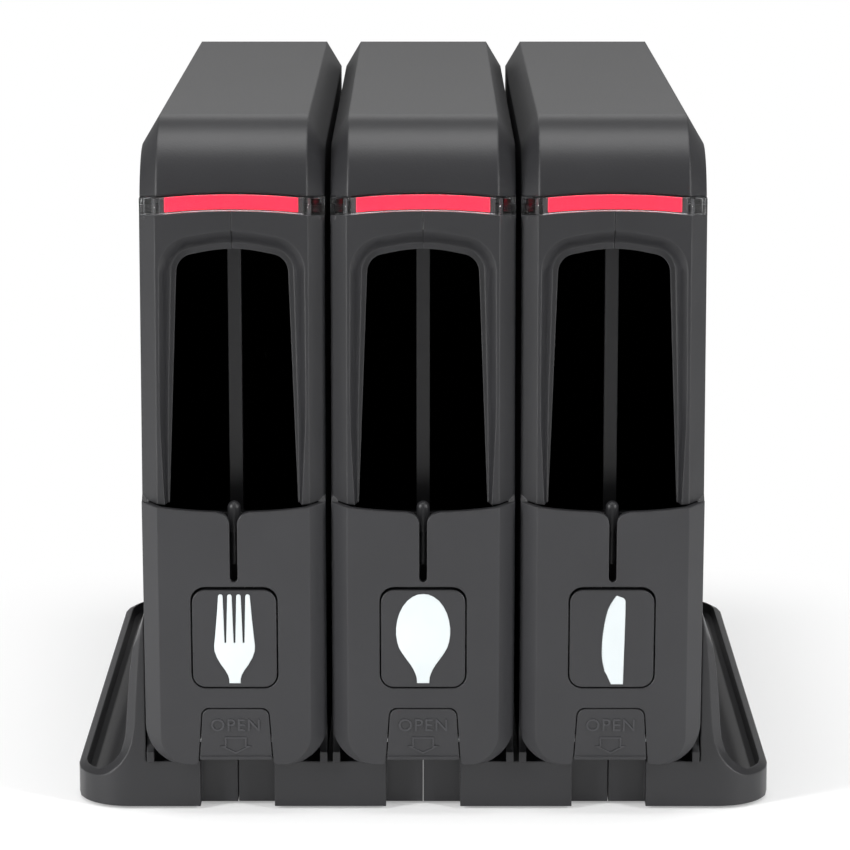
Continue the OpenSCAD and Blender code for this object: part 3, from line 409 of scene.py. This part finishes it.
def raised_line(outer, inner, depth, name):
    """A raised line between two outlines, [(x, z)], that stands out towards -Y from y = 0."""
    count = len(outer)
    rings = [(outline, y) for outline in (outer, inner) for y in (0.0, -depth)]
    points = [(x, y, z) for outline, y in rings for x, z in outline]
    faces = []
    for first, second in ((0, 1), (1, 3), (3, 2), (2, 0)):
        near, far = first * count, second * count
        for i in range(count):
            after = (i + 1) % count
            faces.append((near + i, near + after, far + after, far + i))
    mesh = bpy.data.meshes.new(name)
    mesh.from_pydata(points, [], faces)
    shape = bmesh.new()
    shape.from_mesh(mesh)
    bmesh.ops.recalc_face_normals(shape, faces=shape.faces)
    shape.to_mesh(mesh)
    shape.free()
    return mesh


# ------------------------------------------------------------------ geometry nodes


class Tree:
    """A geometry node tree under construction, with named inputs."""

    def __init__(self, name):
        self.tree = bpy.data.node_groups.new(name, "GeometryNodeTree")
        self.tree.interface.new_socket("Geometry", in_out="OUTPUT", socket_type="NodeSocketGeometry")
        self.sockets = {}

    def given(self, name, kind="NodeSocketFloat"):
        """Adds a named input."""
        self.sockets[name] = self.tree.interface.new_socket(name, in_out="INPUT", socket_type=kind)

    def start(self):
        """Adds the node that hands the inputs in, and returns its outputs."""
        self.inputs = self.tree.nodes.new("NodeGroupInput")
        return self.inputs.outputs

    def node(self, kind, links=(), **values):
        """Adds a node with those values set, and links [(output, name of its input)] to it."""
        made = self.tree.nodes.new(kind)
        for key, value in values.items():
            setattr(made, key, value)
        for source, target in links:
            self.tree.links.new(source, made.inputs[target])
        return made

    def end(self, geometry):
        """Realises what the tree made, sets its material and puts it out."""
        real = self.node("GeometryNodeRealizeInstances", [(geometry, "Geometry")])
        painted = self.node(
            "GeometryNodeSetMaterial",
            [(real.outputs["Geometry"], "Geometry"), (self.inputs.outputs["Material"], "Material")],
        )
        output = self.tree.nodes.new("NodeGroupOutput")
        self.tree.links.new(painted.outputs["Geometry"], output.inputs["Geometry"])


def baked(name, start, tree, values, kind, body, replaced, place):
    """Runs a tree over a start mesh and keeps its result as a plain piece."""
    holder = bpy.data.objects.new(f"{name}_holder", start)
    bpy.context.scene.collection.objects.link(holder)
    modifier = holder.modifiers.new("nodes", "NODES")
    modifier.node_group = tree.tree
    for key, value in {**values, "Material": finish(kind)}.items():
        modifier[tree.sockets[key].identifier] = value
    depsgraph = bpy.context.evaluated_depsgraph_get()
    mesh = bpy.data.meshes.new_from_object(holder.evaluated_get(depsgraph), depsgraph=depsgraph)
    bpy.data.objects.remove(holder)
    mesh.transform(place)
    mesh.name = name
    return link_mesh(name, mesh, kind, body, replaced)


def coil_tree():
    """A round wire wound along Z."""
    tree = Tree("wound wire")
    for name in ("Radius", "Wire", "Length", "Turns"):
        tree.given(name)
    tree.given("Material", "NodeSocketMaterial")
    given = tree.start()
    spiral = tree.node(
        "GeometryNodeCurveSpiral",
        [
            (given["Turns"], "Rotations"),
            (given["Radius"], "Start Radius"),
            (given["Radius"], "End Radius"),
            (given["Length"], "Height"),
        ],
    )
    spiral.inputs["Resolution"].default_value = 28
    section = tree.node("GeometryNodeCurvePrimitiveCircle", [(given["Wire"], "Radius")])
    section.inputs["Resolution"].default_value = 8
    wire = tree.node(
        "GeometryNodeCurveToMesh",
        [(spiral.outputs["Curve"], "Curve"), (section.outputs["Curve"], "Profile Curve")],
    )
    wire.inputs["Fill Caps"].default_value = True
    tree.end(wire.outputs["Mesh"])
    return tree


# ------------------------------------------------------------------ the pieces


class DISPENSER_OT_casings(bpy.types.Operator):
    """Casing halves of every tower, with the window and its scoop"""

    bl_idname = "dispenser.casings"
    bl_label = "Casing halves"

    def execute(self, context):
        front, back = INSIDE_Y
        floor, roof = INSIDE_Z
        for tower in TOWERS:
            middle = centre_x(tower)

            # faces inside the hollow get painted shade
            def in_painted_shade(at):
                return abs(at.x - middle) < INSIDE_HALF_WIDTH and front < at.y < back and floor < at.z < roof

            for side in ("left", "right"):
                dressed(
                    f"{tower}_{side}_shell",
                    f"{tower}_{side}_casing",
                    "casing",
                    "cabinet",
                    0,
                    in_painted_shade=in_painted_shade,
                )
        return {"FINISHED"}


class DISPENSER_OT_hoods(bpy.types.Operator):
    """Top caps with chamfered sides and a quarter-round front"""

    bl_idname = "dispenser.hoods"
    bl_label = "Hoods"

    def execute(self, context):
        for tower in TOWERS:
            dressed(f"{tower}_hood", f"{tower}_top_cap", "hood", "cabinet", sizes().hood_edge, 3)
        return {"FINISHED"}


class DISPENSER_OT_lenses(bpy.types.Operator):
    """Clear bars and the red strips behind them"""

    bl_idname = "dispenser.lenses"
    bl_label = "Lenses and strips"

    def execute(self, context):
        edge, fine_edge = sizes().edge_radius, sizes().fine_edge
        for tower in TOWERS:
            dressed(f"{tower}_lens", f"{tower}_clear_bar", "clear", "cabinet", edge, 3)
            dressed(f"{tower}_marker_strip", f"{tower}_red_strip", "strip", "cabinet", fine_edge)
        return {"FINISHED"}


class DISPENSER_OT_doors(bpy.types.Operator):
    """Lower doors with their slots and openings"""

    bl_idname = "dispenser.doors"
    bl_label = "Doors"

    def execute(self, context):
        edge = sizes().edge_radius
        for tower in TOWERS:
            body = f"{tower}_door_body"
            dressed(f"{tower}_door", f"{tower}_front_door", "door", body, edge)
        return {"FINISHED"}


def door_frame(tower):
    """Matrix of the door's own frame: y is the depth behind its face, z the height above its foot."""
    foot = (centre_x(tower), DOOR_FOOT_Y, DOOR_FOOT_Z)
    return Matrix.Translation(foot) @ Matrix.Rotation(DOOR_LEAN, 4, "X")


def word_mesh(word, height, relief):
    """A raised word in the built-in face, its middle at the origin, facing -Y."""
    curve = bpy.data.curves.new("word", "FONT")
    curve.body = word
    curve.size = height / CAPITAL_SHARE
    curve.space_character = LETTER_SPACING
    curve.align_x = "CENTER"
    curve.extrude = relief
    curve.resolution_u = 4
    holder = bpy.data.objects.new("word_holder", curve)
    bpy.context.scene.collection.objects.link(holder)
    depsgraph = bpy.context.evaluated_depsgraph_get()
    mesh = bpy.data.meshes.new_from_object(holder.evaluated_get(depsgraph), depsgraph=depsgraph)
    bpy.data.objects.remove(holder)
    shape = bmesh.new()
    shape.from_mesh(mesh)
    bmesh.ops.remove_doubles(shape, verts=shape.verts, dist=0.005 * MM)
    shape.to_mesh(mesh)
    shape.free()
    mesh.transform(Matrix.Rotation(math.pi / 2, 4, "X") @ Matrix.Translation((0, -height / 2, 0)))
    return mesh


class DISPENSER_OT_tabs(bpy.types.Operator):
    """Thumb tabs with their raised word and arrow"""

    bl_idname = "dispenser.tabs"
    bl_label = "Thumb tabs"

    def execute(self, context):
        relief = sizes().relief
        outer, inner = ([(x * MM, z * MM) for x, z in outline] for outline in ARROW)
        for tower in TOWERS:
            body = f"{tower}_latch_body"
            dressed(f"{tower}_latch", f"{tower}_tab", "door", body, sizes().fine_edge)
            place = door_frame(tower)
            word = word_mesh("OPEN", sizes().letter_height, relief)
            word.transform(place @ Matrix.Translation((0, 0, WORD_UP)))
            # the word and the arrow carry a painted highlight
            link_mesh(f"{tower}_tab_word", word, "painted_relief_highlight", body)
            pointer = raised_line(outer, inner, relief, f"{tower}_tab_arrow")
            pointer.transform(place)
            link_mesh(f"{tower}_tab_arrow", pointer, "painted_relief_highlight", body)
        return {"FINISHED"}


class DISPENSER_OT_push_plates(bpy.types.Operator):
    """Push plates and their pictograms"""

    bl_idname = "dispenser.push_plates"
    bl_label = "Push plates"

    def execute(self, context):
        for tower in TOWERS:
            body = f"{tower}_button_body"
            dressed(f"{tower}_button", f"{tower}_push_plate", "door", body, sizes().edge_radius)
            dressed(f"{tower}_icon", f"{tower}_pictogram", "symbol", body, ICON_EDGE)
        return {"FINISHED"}


class DISPENSER_OT_guide_rails(bpy.types.Operator):
    """Upright bars behind the windows"""

    bl_idname = "dispenser.guide_rails"
    bl_label = "Guide rails"

    def execute(self, context):
        edge = sizes().edge_radius
        for tower in TOWERS:
            dressed(f"{tower}_guide_rail", f"{tower}_guide_bar", "casing", "cabinet", edge)
        return {"FINISHED"}


class DISPENSER_OT_base(bpy.types.Operator):
    """The four modules of the base"""

    bl_idname = "dispenser.base"
    bl_label = "Base"

    def execute(self, context):
        for module in BASE_MODULES:
            dressed(module, f"{module}_moulding", "base", "cabinet", sizes().edge_radius, 3)
        return {"FINISHED"}


class DISPENSER_OT_springs(bpy.types.Operator):
    """Return springs of the push plates and the tabs"""

    bl_idname = "dispenser.springs"
    bl_label = "Springs"

    def execute(self, context):
        tree = coil_tree()
        for tower in TOWERS:
            body = f"{tower}_door_body"
            for part, radius, turns, forward in SPRINGS:
                node = f"{tower}_{part}_spring"
                low, high = (Vector(c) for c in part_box(node))
                length = (high.y - low.y if forward else high.z - low.z) - 2 * WIRE_RADIUS
                turn = Matrix.Rotation(DOOR_LEAN - (math.pi / 2 if forward else 0), 4, "X")
                middle = (low + high) / 2
                place = Matrix.Translation(middle) @ turn @ Matrix.Translation((0, 0, -length / 2))
                values = {"Radius": radius, "Wire": WIRE_RADIUS, "Length": length, "Turns": float(turns)}
                start = bpy.data.meshes.new(f"{node}_start")
                baked(f"{node}_wire", start, tree, values, "steel", body, (node,), place)
        return {"FINISHED"}


class DISPENSER_OT_inner_parts(bpy.types.Operator):
    """Finishes of the pieces whose solids are shown as they are"""

    bl_idname = "dispenser.inner_parts"
    bl_label = "Inner parts"

    def execute(self, context):
        # the rocker and the chute get the painted shade of the hollow
        kinds = {
            "rocker": "inside",
            "chute": "inside",
            "follower": "weight",
            "door_pin": "steel",
            "shell_screws": "steel",
        }
        named = {f"{tower}_{part}": kind for tower in TOWERS for part, kind in kinds.items()}
        named.update(tie_plates="steel", tie_screws="steel", tower_screws="steel", rubber_feet="rubber")
        for node, kind in named.items():
            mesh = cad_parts[node]
            mesh.material_slots[0].link = "OBJECT"
            mesh.material_slots[0].material = finish(kind)
        return {"FINISHED"}


# ------------------------------------------------------------------ the studio


def add_lamp(name, place, aim, width, height, power):
    """Puts an area lamp at place that looks at aim."""
    data = bpy.data.lights.new(name, "AREA")
    data.shape = "RECTANGLE"
    data.size = width
    data.size_y = height
    data.energy = power
    lamp = bpy.data.objects.new(name, data)
    turn = (Vector(aim) - Vector(place)).to_track_quat("-Z", "Y")
    lamp.matrix_world = Matrix.Translation(place) @ turn.to_matrix().to_4x4()
    bpy.context.scene.collection.objects.link(lamp)


def floor_material():
    """White floor that keeps the shadow near the object and is plain white further out."""
    material, nodes, links, shader = new_material("studio_floor")
    shader.inputs["Base Color"].default_value = (0.88, 0.88, 0.88, 1)
    shader.inputs["Roughness"].default_value = 0.9
    shader.inputs["Specular IOR Level"].default_value = 0.1
    where = add_node(nodes, "ShaderNodeTexCoord")
    folded = add_node(nodes, "ShaderNodeVectorMath", operation="ABSOLUTE")
    links.new(where.outputs["Object"], folded.inputs[0])
    beyond = add_node(nodes, "ShaderNodeVectorMath", operation="SUBTRACT")
    beyond.inputs[1].default_value = FOOTPRINT
    links.new(folded.outputs["Vector"], beyond.inputs[0])
    outside = add_node(nodes, "ShaderNodeVectorMath", operation="MAXIMUM")
    links.new(beyond.outputs["Vector"], outside.inputs[0])
    reach = add_node(nodes, "ShaderNodeVectorMath", operation="LENGTH")
    links.new(outside.outputs["Vector"], reach.inputs[0])
    fade = add_node(nodes, "ShaderNodeMapRange", interpolation_type="SMOOTHSTEP")
    fade.inputs["From Min"].default_value = 0.0
    fade.inputs["From Max"].default_value = SHADOW_REACH
    fade.inputs["To Min"].default_value = 0.3
    links.new(reach.outputs["Value"], fade.inputs["Value"])
    path = add_node(nodes, "ShaderNodeLightPath")
    seen = add_node(nodes, "ShaderNodeMath", operation="MULTIPLY")
    links.new(path.outputs["Is Camera Ray"], seen.inputs[0])
    links.new(fade.outputs["Result"], seen.inputs[1])
    white = add_node(nodes, "ShaderNodeEmission")
    mix = add_node(nodes, "ShaderNodeMixShader")
    links.new(seen.outputs[0], mix.inputs["Fac"])
    links.new(shader.outputs["BSDF"], mix.inputs[1])
    links.new(white.outputs["Emission"], mix.inputs[2])
    links.new(mix.outputs["Shader"], nodes["Material Output"].inputs["Surface"])
    return material


class DISPENSER_OT_studio(bpy.types.Operator):
    """Camera, white floor and soft lamps"""

    bl_idname = "dispenser.studio"
    bl_label = "Studio"

    def execute(self, context):
        scene = context.scene
        studio = scene.dispenser_studio
        data = bpy.data.cameras.new("camera")
        data.sensor_width = SENSOR_WIDTH
        data.lens = studio.focal_length
        camera = bpy.data.objects.new("camera", data)
        camera.location = (CAMERA_X, -studio.camera_distance, studio.camera_height)
        camera.rotation_euler = (math.pi / 2 - studio.camera_pitch, 0, 0)
        scene.collection.objects.link(camera)
        scene.camera = camera
        scene.view_settings.view_transform = "Standard"

        world = bpy.data.worlds.new("studio")
        scene.world = world
        world.use_nodes = True
        nodes, links = world.node_tree.nodes, world.node_tree.links
        background = nodes["Background"]
        background.inputs["Color"].default_value = (1, 1, 1, 1)
        path = add_node(nodes, "ShaderNodeLightPath")
        strength = add_node(nodes, "ShaderNodeMapRange")
        strength.inputs["To Min"].default_value = studio.world_light
        strength.inputs["To Max"].default_value = 1.0
        links.new(path.outputs["Is Camera Ray"], strength.inputs["Value"])
        links.new(strength.outputs["Result"], background.inputs["Strength"])

        reach = FLOOR_REACH
        corners = [(-reach, -reach, 0), (reach, -reach, 0), (reach, reach, 0), (-reach, reach, 0)]
        mesh = bpy.data.meshes.new("floor")
        mesh.from_pydata(corners, [], [(0, 1, 2, 3)])
        mesh.materials.append(floor_material())
        floor = bpy.data.objects.new("floor", mesh)
        scene.collection.objects.link(floor)

        for name, place, width, height, power in LAMPS:
            add_lamp(name, place, LAMP_AIM, width, height, power)
        return {"FINISHED"}


class DISPENSER_PT_panel(bpy.types.Panel):
    """Lists the dispenser's settings and steps"""

    bl_idname = "DISPENSER_PT_panel"
    bl_label = "Cutlery dispenser"
    bl_space_type = "VIEW_3D"
    bl_region_type = "UI"
    bl_category = "Dispenser"

    def draw(self, context):
        scene = context.scene
        for group in (scene.dispenser_sizes, scene.dispenser_colours, scene.dispenser_studio):
            box = self.layout.box()
            for name in group.__annotations__:
                box.prop(group, name)
        for operator in OPERATORS:
            self.layout.operator(operator.bl_idname)


GROUPS = {
    "dispenser_sizes": DispenserSizes,
    "dispenser_colours": DispenserColours,
    "dispenser_studio": DispenserStudio,
}
OPERATORS = (
    DISPENSER_OT_studio,
    DISPENSER_OT_casings,
    DISPENSER_OT_hoods,
    DISPENSER_OT_lenses,
    DISPENSER_OT_doors,
    DISPENSER_OT_tabs,
    DISPENSER_OT_push_plates,
    DISPENSER_OT_guide_rails,
    DISPENSER_OT_base,
    DISPENSER_OT_springs,
    DISPENSER_OT_inner_parts,
)


def register():
    """Registers the settings, the operators and the panel."""
    for name, group in GROUPS.items():
        bpy.utils.register_class(group)
        setattr(bpy.types.Scene, name, bpy.props.PointerProperty(type=group))
    for operator in OPERATORS:
        bpy.utils.register_class(operator)
    bpy.utils.register_class(DISPENSER_PT_panel)


def unregister():
    """Takes back what register did."""
    bpy.utils.unregister_class(DISPENSER_PT_panel)
    for operator in reversed(OPERATORS):
        bpy.utils.unregister_class(operator)
    for name, group in GROUPS.items():
        delattr(bpy.types.Scene, name)
        bpy.utils.unregister_class(group)


def main():
    """Registers the add-on and runs every operator once."""
    register()
    for operator in OPERATORS:
        group, call = operator.bl_idname.split(".")
        getattr(getattr(bpy.ops, group), call)()
    bpy.context.view_layer.update()


if __name__ == "__main__":
    main()
